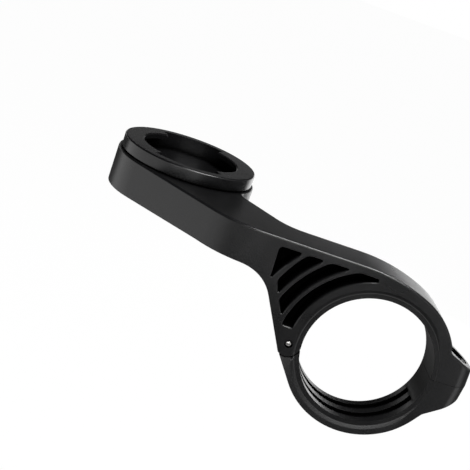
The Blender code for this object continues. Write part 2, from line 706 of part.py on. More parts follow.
def main():
    """Build every piece in its assembled place."""
    clear_scene()
    nylon = (0.018, 0.018, 0.02)
    build_arm(material("arm nylon", nylon, 0.5))
    build_lower(material("lower clamp nylon", nylon, 0.5))
    build_hinge_pin(material("hinge pin steel", (0.72, 0.72, 0.74), 0.25, 1.0))
    build_clamp_screw(material("clamp screw steel", (0.2, 0.2, 0.21), 0.35, 1.0))
    build_clamp_nut(material("clamp nut steel", (0.6, 0.6, 0.62), 0.35, 1.0))
    build_insert(material("insert nylon", (0.012, 0.012, 0.014), 0.55))
    build_insert_screw("insert_screw_front", -1, material("front insert screw steel", (0.5, 0.5, 0.52), 0.3, 1.0))
    build_insert_screw("insert_screw_rear", 1, material("rear insert screw steel", (0.5, 0.5, 0.52), 0.3, 1.0))


main()
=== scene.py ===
"""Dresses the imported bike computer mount: moulded nylon, steel hardware and a plain studio."""
import math
import bmesh
import bpy
from mathutils import Matrix, Vector


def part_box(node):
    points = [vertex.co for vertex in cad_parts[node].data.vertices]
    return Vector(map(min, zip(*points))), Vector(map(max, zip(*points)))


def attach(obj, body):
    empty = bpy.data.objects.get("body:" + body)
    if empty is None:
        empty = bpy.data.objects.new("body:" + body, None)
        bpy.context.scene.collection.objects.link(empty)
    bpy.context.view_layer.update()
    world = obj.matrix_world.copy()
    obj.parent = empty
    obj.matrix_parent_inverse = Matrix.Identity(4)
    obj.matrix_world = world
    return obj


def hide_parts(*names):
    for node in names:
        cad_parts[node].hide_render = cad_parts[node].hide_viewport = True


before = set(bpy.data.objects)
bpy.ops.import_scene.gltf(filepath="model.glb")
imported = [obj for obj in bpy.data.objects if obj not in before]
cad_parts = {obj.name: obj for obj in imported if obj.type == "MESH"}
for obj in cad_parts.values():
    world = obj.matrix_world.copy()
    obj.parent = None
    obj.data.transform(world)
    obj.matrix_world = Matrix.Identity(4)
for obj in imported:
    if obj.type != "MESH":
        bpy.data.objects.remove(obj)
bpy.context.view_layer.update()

bl_info = {
    "name": "Bike computer mount look",
    "version": (1, 0, 0),
    "blender": (4, 5, 0),
    "location": "View3D > Sidebar > Mount",
    "description": "Builds the finished surfaces, hardware and studio of an out-front computer mount",
    "category": "Object",
}

MM = 0.001


def lowest(node):
    """Lowest corner of a CAD node's box, in millimetres."""
    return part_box(node)[0] / MM


def highest(node):
    """Highest corner of a CAD node's box, in millimetres."""
    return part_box(node)[1] / MM


def middle(node):
    """Middle of a CAD node's box, in millimetres."""
    return (lowest(node) + highest(node)) / 2


# Camera, measured from the reference view: place in millimetres, and its own right and up
CAMERA_PLACE = (-59.2, -203.95, 80.2)
CAMERA_RIGHT = (0.943, 0.009, 0.332)
CAMERA_UP = (-0.318, 0.307, 0.897)
CAMERA_LENS = 70.93
CAMERA_CLIP = (0.01, 60.0)
SENSOR_WIDTH = 36.0

# Soft boxes: name, place and size in metres, all turned towards one point in millimetres
SOFT_BOXES = (
    ("front", (-0.05, -0.79, 0.12), (0.75, 0.42)),
    ("top", (0.12, -0.16, 0.5), (0.34, 0.26)),
    ("right", (0.6, -0.1, 0.26), (0.34, 0.34)),
    ("back", (0.25, 0.55, -0.04), (0.36, 0.22)),
)
LIGHT_AIM = (-10.0, 0.0, 5.0)

# Floor in metres, and its painted glow in reflections: dim round a spot in front where a flag would stand,
# though none is built, and dim again behind
FLOOR_REACH = 12.0
FLOOR_COLOUR = (0.8, 0.8, 0.8, 1.0)
FLOOR_ROUGHNESS = 0.9
FLOOR_WHITE = 1.02
FLOOR_DIM = 0.06
FLOOR_MIRROR = 0.96
DIM_GLOW_SPOT = (-0.02, -0.6, 0.0)
DIM_GLOW_EDGE = (0.43, 0.56)
GLOW_SLANT = 0.5
GLOW_EDGE = (0.24, 0.08)

# World in all but the camera's view: by height over the horizon, and from in front to behind
HORIZON_EDGE = (0.22, 0.04)
HORIZON_LIGHT = (0.03, 1.0)
BEHIND_EDGE = (-0.2, 0.4)
BEHIND_LIGHT = (0.1, 0.8)

# Joins in a copied CAD mesh, in metres, and the edges that its shading keeps
MERGE_DISTANCE = 2e-6
ARM_MERGE = 2e-5
FLAT_ANGLE = math.radians(0.3)
SHARP_ANGLE = math.radians(49.0)
ARM_SHARP_ANGLE = math.radians(32.0)
NUT_SHARP_ANGLE = math.radians(25.0)
ROUND_SEGMENTS = 3

# Middles of the head and of the clamp screw, in millimetres
HEAD_MIDDLE = middle("quarter_turn_insert")
SCREW_MIDDLE = middle("clamp_screw")

# Edges of the arm that are rounded: how sharp, how upright and level their faces, and how far
# they stay from the openings, in millimetres
OUTER_ANGLE = math.radians(55.0)
LEAN = 0.12
FACING_UP = 0.05
ARM_ROUND_Z = 1.5
HEAD_OPENING_R = 17.4
SCREW_OPENING_R = 3.6
ARM_BORE_R = 19.0

# Parting and side faces of the lower half, in millimetres
PARTING_LOW_Z = 0.45
PARTING_SLACK = 0.03
ROLL_IN_R = 17.0
ROLL_OUT_R = 19.1
ROLL_DROP = 0.35
ROLL_CURVE = 1.6
ROLL_SLACK = 0.01
HINGE_CLEAR_R = 4.5
HINGE_FADE = 4.0

# Edges of the socket that are softened
SOCKET_ROUND_ANGLE = math.radians(50.0)
SOCKET_ROUND_SEGMENTS = 2

# Hardware, in millimetres, each where its CAD node is; the cap screw's and the nut's sides are a
# multiple of twelve, so that a hexagon's corners fall on points
PIN_DOME = ((0.1, 5.4), (0.34, 5.37), (0.56, 5.29), (0.73, 5.16), (0.83, 4.98), (0.85, 4.8))
PIN_SIDES = 36
HEX_SIDES = 60
PAN_SIDES = 48
CAP_HEAD_H = 3.0
CAP_HEAD_R = 2.72
CAP_CORE_R = 1.24
CAP_CREST_R = 1.5
CAP_THREAD_L = 4.6
CAP_SOCKET_FLATS = 2.5
KNURL_DEPTH = 0.03
KNURL_COUNT = 30
NUT_FACE_R = 2.7
NUT_BORE_R = 1.6
NUT_CHAMFER = math.radians(30.0)
PAN_HEAD_H = 1.6
PAN_CORE_R = 0.98
PAN_CREST_R = 1.2
PAN_PITCH = 0.8
PAN_TURNS = 4
CROSS_OUT_R = 1.25
CROSS_IN_R = 0.42
CROSS_HALF_ANGLE = math.radians(10.0)
CROSS_TAPER = 0.62
THREAD_STEPS = 24
THREAD_FLANK = 0.36

# Range of the slow noise over which colour and gloss change
CLOUD_LOW = 0.3
CLOUD_HIGH = 0.7

# Painted shade on nylon in a recess: how far its walls count, the painted shade colour, where the change
# starts and ends, and the specular level in the open
PAINTED_SHADE_REACH = 0.0045
PAINTED_SHADE_COLOUR = (0.0008, 0.0008, 0.0008, 1.0)
PAINTED_SHADE_EDGE = (0.45, 0.85)
OPEN_SPECULAR = 0.5

# Nylon: scale of its slow change, how far colour and gloss go with it, and the smoother socket
NYLON_CLOUD_SCALE = 60.0
NYLON_TINT = (0.8, 1.2)
NYLON_GLOSS_SPREAD = (-0.04, 0.05)
NYLON_BUMP = 1.0
SOCKET_GLOSS = -0.06
SOCKET_SMOOTHING = 3

# Steel: scale of its machining marks and of their slow change, how far that goes, and roughness
STEEL_GRAIN_SCALE = 9000.0
STEEL_CLOUD_SCALE = 700.0
STEEL_TINT = 0.85
STEEL_GLOSS_SPREAD = (-0.05, 0.08)
STEEL_BUMP = 0.6
STEEL_DEPTH = 0.000004
BRIGHT_ROUGHNESS = 0.28
BLACK_ROUGHNESS = 0.35


class MountSizes(bpy.types.PropertyGroup):
    """Sizes of the finish and the small hardware."""

    grain: bpy.props.FloatProperty(
        name="Moulded grain", description="Width of one grain of the spark-eroded texture",
        default=0.00034, min=0.00002, max=0.002, unit="LENGTH", precision=5)
    grain_depth: bpy.props.FloatProperty(
        name="Grain depth", description="Height of the moulded texture",
        default=0.000024, min=0.0, max=0.0002, unit="LENGTH", precision=6)
    arm_edge: bpy.props.FloatProperty(
        name="Arm edge", description="Radius of the arm's upper outer edges",
        default=0.0005, min=0.0, max=0.0009, unit="LENGTH", precision=5)
    parting_fill: bpy.props.FloatProperty(
        name="Parting fill", description="How far the lower half closes up the parting on the screw's side",
        default=0.00022, min=0.0, max=0.00028, unit="LENGTH", precision=5)
    insert_edge: bpy.props.FloatProperty(
        name="Insert edge", description="Radius of the socket's edges",
        default=0.00014, min=0.0, max=0.0004, unit="LENGTH", precision=5)
    thread_pitch: bpy.props.FloatProperty(
        name="Clamp screw pitch", description="Rise of the clamp screw's thread in one turn",
        default=0.0005, min=0.0002, max=0.002, unit="LENGTH", precision=5)


class MountColours(bpy.types.PropertyGroup):
    """Colours and gloss of the finishes."""

    nylon: bpy.props.FloatVectorProperty(
        name="Nylon", description="Colour of the black moulded nylon", subtype="COLOR",
        size=3, default=(0.005, 0.005, 0.0054), min=0.0, max=1.0)
    nylon_roughness: bpy.props.FloatProperty(
        name="Nylon roughness", description="Roughness of the moulded nylon",
        default=0.3, min=0.0, max=1.0, subtype="FACTOR")
    steel: bpy.props.FloatVectorProperty(
        name="Steel", description="Colour of the bright steel", subtype="COLOR",
        size=3, default=(0.62, 0.61, 0.59), min=0.0, max=1.0)
    black_steel: bpy.props.FloatVectorProperty(
        name="Blackened steel", description="Colour of the blackened clamp screw", subtype="COLOR",
        size=3, default=(0.045, 0.045, 0.047), min=0.0, max=1.0)


class MountStudio(bpy.types.PropertyGroup):
    """Light and floor of the studio."""

    front_light: bpy.props.FloatProperty(
        name="Front light", description="Power of the wide soft box in front",
        default=2.6, min=0.0, max=100.0, unit="POWER")
    top_light: bpy.props.FloatProperty(
        name="Top light", description="Power of the soft box overhead",
        default=4.6, min=0.0, max=100.0, unit="POWER")
    right_light: bpy.props.FloatProperty(
        name="Right light", description="Power of the soft box on the right",
        default=0.25, min=0.0, max=100.0, unit="POWER")
    back_light: bpy.props.FloatProperty(
        name="Back light", description="Power of the low soft box behind",
        default=0.45, min=0.0, max=100.0, unit="POWER")
    floor_drop: bpy.props.FloatProperty(
        name="Floor drop", description="Depth of the floor under the clamp",
        default=0.16, min=0.02, max=2.0, unit="LENGTH")
    floor_glow: bpy.props.FloatProperty(
        name="Floor glow", description="Brightness of the floor in reflections",
        default=1.2, min=0.0, max=10.0)


def new_object(name, bm):
    """Turn a bmesh whose points are already in place into an object at the origin."""
    mesh = bpy.data.meshes.new(name)
    bm.to_mesh(mesh)
    bm.free()
    obj = bpy.data.objects.new(name, mesh)
    bpy.context.scene.collection.objects.link(obj)
    return obj


def smooth(obj, angle=SHARP_ANGLE):
    """Smooth shading that keeps the edges sharper than the angle."""
    obj.data.shade_smooth()
    obj.data.set_sharp_from_angle(angle=angle)
    return obj


def weighted(obj):
    """Let large faces keep flat shading next to their rounded edges."""
    mod = obj.modifiers.new("weighted normals", "WEIGHTED_NORMAL")
    mod.keep_sharp = True
    return obj


def merged_copy(node, name, merge=MERGE_DISTANCE, edges_to_round=None, radius=0.0):
    """Copy a CAD node's mesh with its triangles joined into whole faces and chosen edges rounded."""
    bm = bmesh.new()
    bm.from_mesh(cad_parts[node].data)
    bmesh.ops.remove_doubles(bm, verts=bm.verts, dist=merge)
    bmesh.ops.dissolve_limit(bm, angle_limit=FLAT_ANGLE, use_dissolve_boundaries=False,
                             verts=bm.verts, edges=bm.edges)
    if edges_to_round is not None:
        chosen = [edge for edge in bm.edges if edges_to_round(edge)]
        bmesh.ops.bevel(bm, geom=chosen, offset=radius, offset_type="OFFSET", segments=ROUND_SEGMENTS,
                        profile=0.5, affect="EDGES", clamp_overlap=False, material=-1)
    obj = new_object(name, bm)
    obj.data.materials.clear()
    return obj


def edges_of(bm, row):
    """Edges of a bmesh between the points of one ring."""
    return [edge for edge in bm.edges if edge.verts[0] in row and edge.verts[1] in row]


def ring_stack(bm, rings, segments, closed=False):
    """Skin a stack of rings; each is a (radius, height) pair, and either may depend on the angle."""
    rows = []
    for radius, height in rings:
        row = bmesh.ops.create_circle(bm, segments=segments, radius=1.0)["verts"]
        for vert in row:
            angle = math.atan2(vert.co.y, vert.co.x)
            reach = radius(angle) if callable(radius) else radius
            level = height(angle) if callable(height) else height
            vert.co = Vector((reach * math.cos(angle), reach * math.sin(angle), level)) * MM
        rows.append(row)
    following = rows[1:] + rows[:1] if closed else rows[1:]
    for lower, upper in zip(rows, following):
        bmesh.ops.bridge_loops(bm, edges=edges_of(bm, lower) + edges_of(bm, upper))
    if not closed:
        for row in (rows[0], rows[-1]):
            bmesh.ops.contextual_create(bm, geom=row)
    return bm


def thread_ridge(bm, core, crest, pitch, start, turns):
    """Closed helical ridge of a screw thread about the Z axis, in millimetres."""
    flank = THREAD_FLANK * pitch
    corners = ((core, start - flank), (crest, start), (core, start + flank))
    face = bm.faces.new([bm.verts.new((r * MM, 0.0, z * MM)) for r, z in corners])
    bmesh.ops.spin(bm, geom=list(face.verts) + list(face.edges) + [face], cent=(0.0, 0.0, 0.0),
                   axis=(0.0, 0.0, 1.0), dvec=(0.0, 0.0, pitch * MM / THREAD_STEPS),
                   angle=2 * math.pi * turns, steps=THREAD_STEPS * turns)
    return bm


def hexagon_reach(flats):
    """Radius of a hexagon, by angle, with flats facing along X."""
    def reach(angle):
        turn = (angle + math.pi / 6) % (math.pi / 3) - math.pi / 6
        return flats / 2 / math.cos(turn)
    return reach


def cross_reach(angle):
    """Radius of a cross recess, by angle, with its arms on the diagonals."""
    turn = (angle + math.pi / 2) % (math.pi / 2) - math.pi / 4
    return CROSS_OUT_R if abs(turn) < CROSS_HALF_ANGLE else CROSS_IN_R


def placed(bm, x, y, z=0.0, turn=None):
    """Move finished points to their place, in millimetres, and set the normals."""
    if turn is not None:
        bmesh.ops.transform(bm, matrix=turn, verts=bm.verts)
    bmesh.ops.translate(bm, vec=Vector((x, y, z)) * MM, verts=bm.verts)
    bmesh.ops.recalc_face_normals(bm, faces=bm.faces)
    return bm


def give(obj, mat):
    """Give a piece its one material."""
    obj.data.materials.clear()
    obj.data.materials.append(mat)
    return obj


def stands_for(obj, node, body, mat):
    """Finish a piece: its material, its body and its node."""
    give(obj, mat)
    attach(obj, body)
    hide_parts(node)
    return obj


def add_node(tree, kind, place, values=None, **settings):
    """Add a node with its settings, the values of its unlinked inputs and a place in the editor."""
    node = tree.nodes.new(kind)
    node.location = place
    for key, setting in settings.items():
        setattr(node, key, setting)
    for socket, value in (values or {}).items():
        node.inputs[socket].default_value = value
    return node


def connect(tree, *links):
    """Link sockets; each link is a node, its output, the next node and its input."""
    for source, output, target, socket in links:
        tree.links.new(source.outputs[output], target.inputs[socket])


def socket_group(name, inputs, outputs):
    """Start a shader node group with named sockets."""
    group = bpy.data.node_groups.new(name, "ShaderNodeTree")
    for label, kind, default in inputs:
        item = group.interface.new_socket(name=label, in_out="INPUT", socket_type=kind)
        if default is not None:
            item.default_value = default
    for label, kind in outputs:
        group.interface.new_socket(name=label, in_out="OUTPUT", socket_type=kind)
    start = add_node(group, "NodeGroupInput", (-900, 0))
    end = add_node(group, "NodeGroupOutput", (600, 0))
    return group, start, end


def grain_group():
    """Moulded grain: a fine pebbled height, and a cloud that varies slowly over the surface."""
    name = "moulded grain"
    if name in bpy.data.node_groups:
        return bpy.data.node_groups[name]
    group, start, end = socket_group(
        name,
        [("Vector", "NodeSocketVector", None), ("Grain scale", "NodeSocketFloat", STEEL_GRAIN_SCALE),
         ("Cloud scale", "NodeSocketFloat", NYLON_CLOUD_SCALE)],
        [("Height", "NodeSocketFloat"), ("Cloud", "NodeSocketFloat")])
    fine = add_node(group, "ShaderNodeTexNoise", (-600, 200), {"Detail": 2.0, "Roughness": 0.6})
    cloud = add_node(group, "ShaderNodeTexNoise", (-600, -100), {"Detail": 3.0, "Roughness": 0.55})
    connect(group,
            (start, "Vector", fine, "Vector"),
            (start, "Grain scale", fine, "Scale"),
            (start, "Vector", cloud, "Vector"),
            (start, "Cloud scale", cloud, "Scale"),
            (fine, "Fac", end, "Height"),
            (cloud, "Fac", end, "Cloud"))
    return group


def principled(name):
    """Start a material and return it with its tree and shader."""
    mat = bpy.data.materials.new(name)
    mat.use_nodes = True
    tree = mat.node_tree
    return mat, tree, tree.nodes["Principled BSDF"]


def ramp(tree, place, low, high):
    """Colour ramp over the cloud's range."""
    node = add_node(tree, "ShaderNodeValToRGB", place)
    node.color_ramp.elements[0].position = CLOUD_LOW
    node.color_ramp.elements[0].color = (*low, 1.0)
    node.color_ramp.elements[1].position = CLOUD_HIGH
    node.color_ramp.elements[1].color = (*high, 1.0)
    return node


def span(tree, place, edge, result=(0.0, 1.0), kind="LINEAR"):
    """Map a value that runs between two edges to a result between two others."""
    values = {"From Min": edge[0], "From Max": edge[1], "To Min": result[0], "To Max": result[1]}
    return add_node(tree, "ShaderNodeMapRange", place, values, interpolation_type=kind)


def finish_nodes(tree, low, high, roughness, gloss_spread, bump_strength, depth):
    """Nodes that both finishes share: grain, colour, gloss and bump, all on Object coordinates."""
    place = add_node(tree, "ShaderNodeTexCoord", (-900, 0))
    grains = add_node(tree, "ShaderNodeGroup", (-700, 0), node_tree=grain_group())
    tint = ramp(tree, (-400, 200), low, high)
    gloss_range = [roughness + step for step in gloss_spread]
    gloss = span(tree, (-400, 0), (CLOUD_LOW, CLOUD_HIGH), gloss_range)
    bump = add_node(tree, "ShaderNodeBump", (-400, -250), {"Strength": bump_strength, "Distance": depth})
    shader = tree.nodes["Principled BSDF"]
    connect(tree,
            (place, "Object", grains, "Vector"),
            (grains, "Cloud", tint, "Fac"),
            (grains, "Cloud", gloss, "Value"),
            (grains, "Height", bump, "Height"),
            (gloss, "Result", shader, "Roughness"),
            (bump, "Normal", shader, "Normal"))
    return grains, tint


def nylon_material(name, colour, roughness, grain, depth):
    """Black glass-filled nylon with the fine texture of its mould, and painted shade that makes it dark and
    dull inside recesses.
    """
    mat, tree, shader = principled(name)
    low, high = [[channel * share for channel in colour] for share in NYLON_TINT]
    grains, tint = finish_nodes(tree, low, high, roughness, NYLON_GLOSS_SPREAD, NYLON_BUMP, depth)
    grains.inputs["Grain scale"].default_value = 1.0 / grain
    # Painted shade: ambient occlusion darkens the colour towards near black and weakens the reflections
    # inside recesses
    opening = add_node(tree, "ShaderNodeAmbientOcclusion", (-700, 500), {"Distance": PAINTED_SHADE_REACH}, samples=8)
    painted_shade_mask = span(tree, (-450, 500), PAINTED_SHADE_EDGE, kind="SMOOTHSTEP")
    painted_shade = add_node(tree, "ShaderNodeMix", (-150, 300), {"A": PAINTED_SHADE_COLOUR}, data_type="RGBA")
    shaded_specular = add_node(tree, "ShaderNodeMath", (-150, 500), {1: OPEN_SPECULAR}, operation="MULTIPLY")
    connect(tree,
            (opening, "AO", painted_shade_mask, "Value"),
            (painted_shade_mask, "Result", painted_shade, "Factor"),
            (tint, "Color", painted_shade, "B"),
            (painted_shade_mask, "Result", shaded_specular, 0),
            (painted_shade, "Result", shader, "Base Color"),
            (shaded_specular, "Value", shader, "Specular IOR Level"))
    return mat


def steel_material(name, colour, roughness):
    """Steel with faint machining variation."""
    mat, tree, shader = principled(name)
    shader.inputs["Metallic"].default_value = 1.0
    low = [channel * STEEL_TINT for channel in colour]
    grains, tint = finish_nodes(tree, low, colour, roughness, STEEL_GLOSS_SPREAD, STEEL_BUMP, STEEL_DEPTH)
    grains.inputs["Grain scale"].default_value = STEEL_GRAIN_SCALE
    grains.inputs["Cloud scale"].default_value = STEEL_CLOUD_SCALE
    connect(tree, (tint, "Color", shader, "Base Color"))
    return mat


def material(name):
    """The finishes, each made once."""
    if name in bpy.data.materials:
        return bpy.data.materials[name]
    sizes = bpy.context.scene.mount_sizes
    colours = bpy.context.scene.mount_colours
    gloss = colours.nylon_roughness
    depth = sizes.grain_depth
    if name == "moulded nylon":
        return nylon_material(name, colours.nylon, gloss, sizes.grain, depth)
    if name == "smooth nylon":
        gloss += SOCKET_GLOSS
        return nylon_material(name, colours.nylon, gloss, sizes.grain, depth / SOCKET_SMOOTHING)
    if name == "blackened steel":
        return steel_material(name, colours.black_steel, BLACK_ROUGHNESS)
    return steel_material(name, colours.steel, BRIGHT_ROUGHNESS)


def is_outer(edge):
    """Outer edge of the arm between a side wall and the top, clear of every opening."""
    if len(edge.link_faces) != 2 or edge.calc_face_angle(0.0) < OUTER_ANGLE or not edge.is_convex:
        return False
    normals = [face.normal for face in edge.link_faces]
    across, wall = sorted(normals, key=lambda normal: abs(normal.y))
    if abs(across.y) > LEAN or abs(wall.z) > LEAN or across.z < FACING_UP:
        return False
    x, y, z = (edge.verts[0].co + edge.verts[1].co) / 2 / MM
    if z < ARM_ROUND_Z or math.hypot(x, z) <= ARM_BORE_R:
        return False
    from_head = math.hypot(x - HEAD_MIDDLE.x, y - HEAD_MIDDLE.y)
    from_screw = math.hypot(x - SCREW_MIDDLE.x, y - SCREW_MIDDLE.y)
    return from_head >= HEAD_OPENING_R and from_screw > SCREW_OPENING_R


class MOUNT_OT_arm(bpy.types.Operator):
    """Arm with the head, the upper clamp half and the lightening pockets"""

    bl_idname = "mount.arm"
    bl_label = "Arm moulding"

    def execute(self, context):
        radius = context.scene.mount_sizes.arm_edge
        arm = merged_copy("arm", "arm_moulding", ARM_MERGE, is_outer, radius)
        weighted(smooth(arm, ARM_SHARP_ANGLE))
        stands_for(arm, "arm", "mount", material("moulded nylon"))
        return {"FINISHED"}


class MOUNT_OT_lower_clamp(bpy.types.Operator):
    """Hinged lower half of the clamp, closed up to a hairline at the parting"""

    bl_idname = "mount.lower_clamp"
    bl_label = "Lower clamp moulding"

    def execute(self, context):
        lower = merged_copy("lower_clamp", "lower_clamp_moulding")
        rise = context.scene.mount_sizes.parting_fill
        for vert in lower.data.vertices:
            if vert.co.x > 0.0 and abs(vert.co.z - PARTING_LOW_Z * MM) < PARTING_SLACK * MM:
                vert.co.z += rise
        self.round_ring(lower.data.vertices)
        weighted(smooth(lower))
        stands_for(lower, "lower_clamp", "clamp_half", material("moulded nylon"))
        return {"FINISHED"}

    def round_ring(self, verts):
        """Let both side faces of the ring fall away evenly to the bore's band, but not at the hinge."""
        pin = middle("hinge_pin")
        half_width = highest("lower_clamp").y
        for vert in verts:
            share = (math.hypot(vert.co.x, vert.co.z) / MM - ROLL_IN_R) / (ROLL_OUT_R - ROLL_IN_R)
            side = abs(vert.co.y) / MM
            in_drop = half_width - ROLL_DROP - ROLL_SLACK < side < half_width + ROLL_SLACK
            if in_drop and -ROLL_SLACK < share < 1.0:
                fall = ROLL_DROP * max(0.0, 1.0 - share) ** ROLL_CURVE
                from_pin = math.hypot(vert.co.x / MM - pin.x, vert.co.z / MM - pin.z)
                blend = min(1.0, max(0.0, (from_pin - HINGE_CLEAR_R) / HINGE_FADE))
                side += (half_width - fall - side) * blend
                vert.co.y = math.copysign(side * MM, vert.co.y)


class MOUNT_OT_insert(bpy.types.Operator):
    """Quarter-turn socket with its edges softened"""

    bl_idname = "mount.insert"
    bl_label = "Quarter-turn insert"

    def execute(self, context):
        insert = merged_copy("quarter_turn_insert", "quarter_turn_socket")
        smooth(insert)
        edge = insert.modifiers.new("softened edges", "BEVEL")
        edge.width = context.scene.mount_sizes.insert_edge
        edge.segments = SOCKET_ROUND_SEGMENTS
        edge.limit_method = "ANGLE"
        edge.angle_limit = SOCKET_ROUND_ANGLE
        weighted(insert)
        stands_for(insert, "quarter_turn_insert", "mount", material("smooth nylon"))
        return {"FINISHED"}


class MOUNT_OT_hinge_pin(bpy.types.Operator):
    """Hinge pin with domed, peened ends"""

    bl_idname = "mount.hinge_pin"
    bl_label = "Hinge pin"

    def execute(self, context):
        rings = [(r, -z) for r, z in PIN_DOME] + [(r, z) for r, z in reversed(PIN_DOME)]
        bm = ring_stack(bmesh.new(), rings, PIN_SIDES)
        along_y = Matrix.Rotation(math.radians(90.0), 4, "X")
        axis = middle("hinge_pin")
        pin = smooth(new_object("hinge_pin_domed", placed(bm, axis.x, axis.y, axis.z, along_y)))
        stands_for(pin, "hinge_pin", "mount", material("bright steel"))
        return {"FINISHED"}


class MOUNT_OT_clamp_screw(bpy.types.Operator):
    """Socket-head cap screw with a knurled head and a rolled thread"""

    bl_idname = "mount.clamp_screw"
    bl_label = "Clamp screw"

    def execute(self, context):
        tip = lowest("clamp_screw").z
        top = highest("clamp_screw").z
        seat = top - CAP_HEAD_H
        socket = hexagon_reach(CAP_SOCKET_FLATS)

        def knurl(angle):
            return CAP_HEAD_R + KNURL_DEPTH * math.cos(KNURL_COUNT * angle)

        def socket_rim(angle):
            return socket(angle) + 0.08
        threaded = [(0.9, tip), (CAP_CORE_R, tip + 0.35), (CAP_CORE_R, seat - 2.3)]
        shank = [(1.46, seat - 2.0), (1.46, seat - 0.15), (1.6, seat)]
        head = [(2.6, seat), (knurl, seat + 0.15), (knurl, top - 0.45), (2.62, top - 0.15), (2.4, top)]
        recess = [(1.62, top), (socket_rim, top - 0.08), (socket, top - 0.2), (socket, top - 1.5)]
        bm = ring_stack(bmesh.new(), threaded + shank + head + recess, HEX_SIDES)
        pitch = context.scene.mount_sizes.thread_pitch / MM
        thread_ridge(bm, CAP_CORE_R - 0.04, CAP_CREST_R, pitch, tip + 0.5, int(CAP_THREAD_L / pitch))
        screw = smooth(new_object("socket_head_screw", placed(bm, SCREW_MIDDLE.x, SCREW_MIDDLE.y)))
        stands_for(screw, "clamp_screw", "screw", material("blackened steel"))
        return {"FINISHED"}


class MOUNT_OT_clamp_nut(bpy.types.Operator):
    """Hexagon nut with turned corners"""

    bl_idname = "mount.clamp_nut"
    bl_label = "Clamp nut"

    def execute(self, context):
        low = lowest("clamp_nut")
        high = highest("clamp_nut")
        side = hexagon_reach(high.x - low.x)

        def end(angle):
            return min(side(angle), NUT_FACE_R)

        def corner_drop(angle):
            return max(0.0, side(angle) - NUT_FACE_R) * math.tan(NUT_CHAMFER)

        def lower_corner(angle):
            return low.z + corner_drop(angle)

        def upper_corner(angle):
            return high.z - corner_drop(angle)
        rim_r = NUT_BORE_R + 0.25
        outside = [(rim_r, low.z), (end, low.z), (side, lower_corner), (side, upper_corner), (end, high.z)]
        bore = [(rim_r, high.z), (NUT_BORE_R, high.z - 0.2), (NUT_BORE_R, low.z + 0.2)]
        bm = ring_stack(bmesh.new(), outside + bore, HEX_SIDES, closed=True)
        axis = middle("clamp_nut")
        nut = smooth(new_object("hexagon_nut", placed(bm, axis.x, axis.y)), NUT_SHARP_ANGLE)
        stands_for(nut, "clamp_nut", "clamp_half", material("bright steel"))
        return {"FINISHED"}


class MOUNT_OT_insert_screws(bpy.types.Operator):
    """Two pan-head screws that hold the socket from below"""

    bl_idname = "mount.insert_screws"
    bl_label = "Insert screws"

    def execute(self, context):
        for node in ("insert_screw_front", "insert_screw_rear"):
            low = lowest(node).z
            tip = highest(node).z
            seat = low + PAN_HEAD_H
            bm = ring_stack(bmesh.new(), self.rings(low, seat, tip), PAN_SIDES)
            thread_ridge(bm, PAN_CORE_R - 0.06, PAN_CREST_R, PAN_PITCH, seat + 0.8, PAN_TURNS)
            axis = middle(node)
            screw = smooth(new_object(node + "_threaded", placed(bm, axis.x, axis.y)))
            stands_for(screw, node, "mount", material("bright steel"))
        return {"FINISHED"}

    def rings(self, low, seat, tip):
        """Rings from the tip down to the bottom of the cross recess."""
        def recess_floor(angle):
            return CROSS_TAPER * cross_reach(angle)
        shank = [(0.4, tip), (PAN_CORE_R, tip - 0.6), (PAN_CORE_R, seat + 0.3), (PAN_CREST_R, seat)]
        rim = [(2.22, seat), (2.3, seat - 0.1), (2.3, low + 0.85)]
        dome = [(2.22, low + 0.5), (2.02, low + 0.22), (1.72, low + 0.05), (1.5, low)]
        return shank + rim + dome + [(cross_reach, low), (recess_floor, low + 0.8)]


